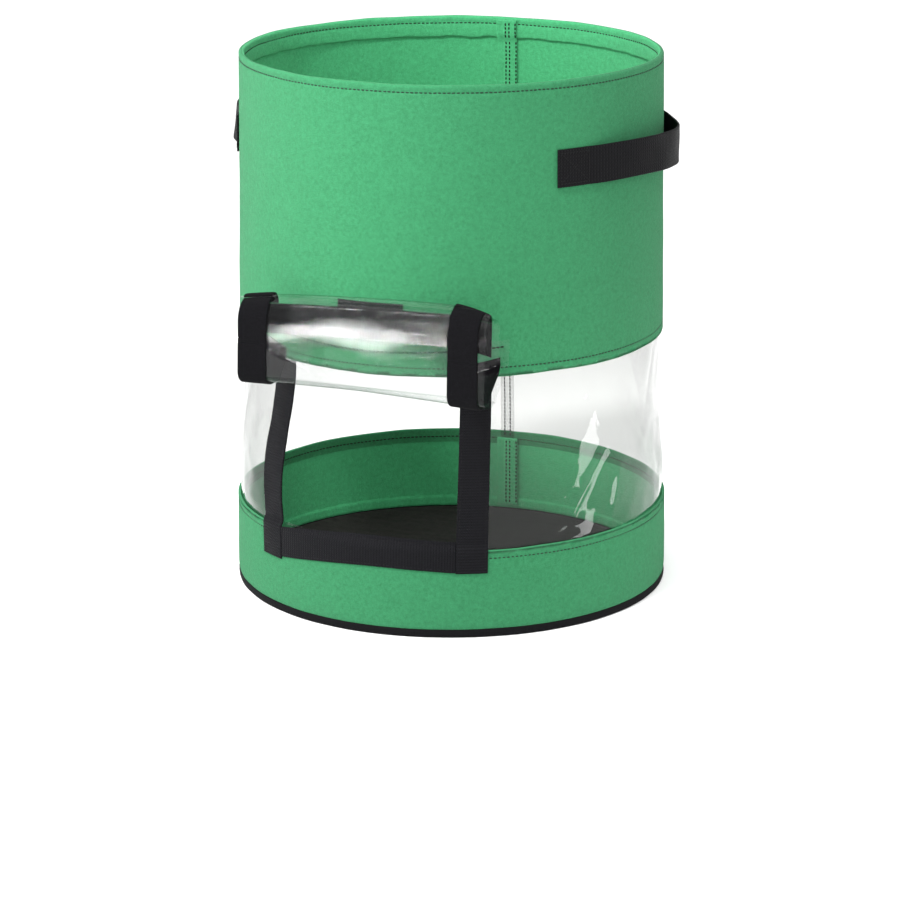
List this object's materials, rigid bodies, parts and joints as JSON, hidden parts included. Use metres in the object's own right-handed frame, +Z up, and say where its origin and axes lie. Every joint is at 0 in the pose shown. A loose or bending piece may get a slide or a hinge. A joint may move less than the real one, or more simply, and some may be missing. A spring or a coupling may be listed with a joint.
{
  "type": "fabric grow bag",
  "caption": "Round felt grow bag with a clear band, a taped window opening with a roll-up clear flap, and webbing side handles.",
  "frame": {"origin": "middle of the underside, on the floor", "axes": "+Z up; the window and its flap face -Y; the right handle is at +X"},
  "size_m": [0.3846, 0.3819, 0.442],
  "materials": {
    "green_felt": "matte needle-punched felt",
    "black_felt": "matte needle-punched felt",
    "clear_film": "clear glossy film",
    "hook_tape": "hooked nylon tape",
    "loop_tape": "fuzzy nylon tape",
    "webbing": "woven nylon webbing",
    "binding": "folded woven tape",
    "thread": "sewing thread"
  },
  "bodies": {
    "bag": {"upper_wall": "green_felt", "window_band": "clear_film", "lower_wall": "green_felt", "base_disc": "black_felt", "base_binding": "binding", "upper_seam_strip": "green_felt", "window_seam_strip": "clear_film", "lower_seam_strip": "green_felt", "window_tape_left": "hook_tape", "window_tape_right": "hook_tape", "window_tape_bottom": "hook_tape", "roll_patch": "hook_tape", "handle_left_end_front": "webbing", "handle_left_end_back": "webbing", "handle_right_end_front": "webbing", "handle_right_end_back": "webbing", "flap_film_top": "clear_film"},
    "handle_left": {"handle_left_loop": "webbing"},
    "handle_right": {"handle_right_loop": "webbing"},
    "flap_1": {"flap_film_1": "clear_film", "flap_tape_left_1": "loop_tape", "flap_tape_right_1": "loop_tape"},
    "flap_2": {"flap_film_2": "clear_film", "flap_tape_left_2": "loop_tape", "flap_tape_right_2": "loop_tape"},
    "flap_3": {"flap_film_3": "clear_film", "flap_tape_left_3": "loop_tape", "flap_tape_right_3": "loop_tape"},
    "flap_4": {"flap_film_4": "clear_film", "flap_tape_left_4": "loop_tape", "flap_tape_right_4": "loop_tape", "flap_tape_bottom": "loop_tape"}
  },
  "joints": [
    {"name": "handle_left_swing", "type": "hinge", "parent": "bag", "child": "handle_left", "pos_m": [-0.14621, 0.03645, 0.3735], "axis": [0.2419, 0.9703, 0], "range_deg": [-18, 18]},
    {"name": "handle_right_swing", "type": "hinge", "parent": "bag", "child": "handle_right", "pos_m": [0.15069, 0, 0.3735], "axis": [0, 1, 0], "range_deg": [-18, 18]},
    {"name": "flap_unroll", "type": "hinge", "parent": "bag", "child": "flap_1", "pos_m": [0, -0.1763, 0.2015], "axis": [1, 0, 0], "range_deg": [0, 87.5]},
    {"name": "flap_bend_2", "type": "hinge", "parent": "flap_1", "child": "flap_2", "pos_m": [0, -0.20127, 0.20281], "axis": [1, 0, 0], "range_deg": [0, 90]},
    {"name": "flap_bend_3", "type": "hinge", "parent": "flap_2", "child": "flap_3", "pos_m": [0, -0.19786, 0.26772], "axis": [1, 0, 0], "range_deg": [0, 70]},
    {"name": "flap_bend_4", "type": "hinge", "parent": "flap_3", "child": "flap_4", "pos_m": [0, -0.1773, 0.27401], "axis": [1, 0, 0], "range_deg": [0, 110]}
  ],
  "couplings": [
    {"joint": "flap_bend_2", "follows": "flap_unroll", "ratio": 1.0286},
    {"joint": "flap_bend_3", "follows": "flap_unroll", "ratio": 0.8},
    {"joint": "flap_bend_4", "follows": "flap_unroll", "ratio": 1.2571}
  ]
}
